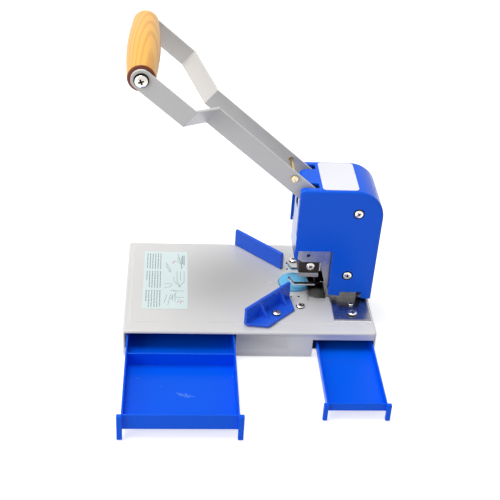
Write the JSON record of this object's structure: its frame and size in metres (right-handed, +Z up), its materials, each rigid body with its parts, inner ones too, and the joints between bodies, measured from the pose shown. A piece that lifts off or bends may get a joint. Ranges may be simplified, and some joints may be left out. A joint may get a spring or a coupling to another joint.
{
  "type": "corner rounder",
  "caption": "Bench corner rounder: a forked hand lever drives a ram and curved blade onto a cutting disc between two corner guides, on a base with open drawers.",
  "frame": {"origin": "centre of the bounding box in plan, on the ground under the rubber feet, in the pictured pose", "axes": "+Z up; -Y is the front, where the drawers open; +X is the side of the press head; the lever's grip is at -X"},
  "size_m": [0.2624, 0.2886, 0.3141],
  "materials": {
    "grey_paint": "light grey semi-gloss paint",
    "lever_paint": "warm grey semi-gloss paint",
    "steel_sheet": "zinc plated sheet, dull",
    "rubber": "matt black rubber",
    "screw_steel": "bright plated screw",
    "plated_steel": "bright nickel plated steel",
    "dark_steel": "blackened steel",
    "blade_steel": "ground tool steel",
    "spring_steel": "oiled spring wire",
    "yellow_zinc": "yellow passivated zinc on steel",
    "drawer_blue": "blue moulded plastic, glossy",
    "guide_blue": "blue moulded plastic",
    "cover_blue": "blue moulded plastic",
    "disc_blue": "light blue cutting plastic",
    "wood": "turned wood, clear varnish",
    "label_paper": "blank pale label",
    "sticker_paper": null
  },
  "bodies": {
    "stand": {"base_housing": "grey_paint", "bottom_plate": "steel_sheet", "rubber_foot_1": "rubber", "rubber_foot_2": "rubber", "rubber_foot_3": "rubber", "rubber_foot_4": "rubber", "bottom_plate_screw_1": "screw_steel", "bottom_plate_screw_2": "screw_steel", "bottom_plate_screw_3": "screw_steel", "bottom_plate_screw_4": "screw_steel", "near_guide": "guide_blue", "far_guide": "guide_blue", "guide_screw_1": "screw_steel", "guide_screw_2": "screw_steel", "table_screw_1": "screw_steel", "table_screw_2": "screw_steel", "foot_screw_1": "screw_steel", "foot_screw_2": "screw_steel", "foot_pin_1": "screw_steel", "foot_pin_2": "screw_steel", "frame_side_near": "plated_steel", "frame_side_far": "plated_steel", "frame_back_plate": "plated_steel", "pivot_pin": "plated_steel", "stripper_fork": "plated_steel", "fork_screw": "screw_steel", "head_cover": "cover_blue", "cover_screw_1": "screw_steel", "cover_screw_2": "screw_steel", "cover_screw_3": "screw_steel", "cover_screw_4": "screw_steel", "cover_label": "label_paper", "table_sticker": "sticker_paper"},
    "lever": {"lever_bar_near": "lever_paint", "lever_bar_far": "lever_paint", "cross_pin": "yellow_zinc", "press_shaft": "plated_steel", "return_spring": "spring_steel", "grip": "wood", "grip_screw_1": "screw_steel", "grip_screw_2": "screw_steel"},
    "ram_unit": {"ram": "plated_steel", "tool_holder": "dark_steel", "tool_flange": "plated_steel", "tool_screw": "screw_steel", "blade": "blade_steel"},
    "large_drawer_tray": {"large_drawer": "drawer_blue"},
    "small_drawer_tray": {"small_drawer": "drawer_blue"},
    "disc": {"cutting_disc": "disc_blue"}
  },
  "joints": [
    {"name": "lever_hinge", "type": "hinge", "parent": "stand", "child": "lever", "pos_m": [0.09875, 0.06635, 0.1181], "axis": [0, -1, 0], "range_deg": [0, 33], "stiffness_Nm_per_rad": 1.2, "springref_deg": -74.48},
    {"name": "ram_slide", "type": "slide", "parent": "stand", "child": "ram_unit", "axis": [0, 0, -1], "range_m": [0, 0.0119]},
    {"name": "large_drawer_slide", "type": "slide", "parent": "stand", "child": "large_drawer_tray", "axis": [0, 1, 0], "range_m": [0, 0.1177]},
    {"name": "small_drawer_slide", "type": "slide", "parent": "stand", "child": "small_drawer_tray", "axis": [0, 1, 0], "range_m": [0, 0.0914]},
    {"name": "disc_turn", "type": "hinge", "parent": "stand", "child": "disc", "pos_m": [0.05005, 0.06635, 0.0359], "axis": [0, 0, 1], "continuous": true}
  ],
  "couplings": [
    {"joint": "ram_slide", "follows": "lever_hinge", "m_per_rad": 0.02062}
  ]
}
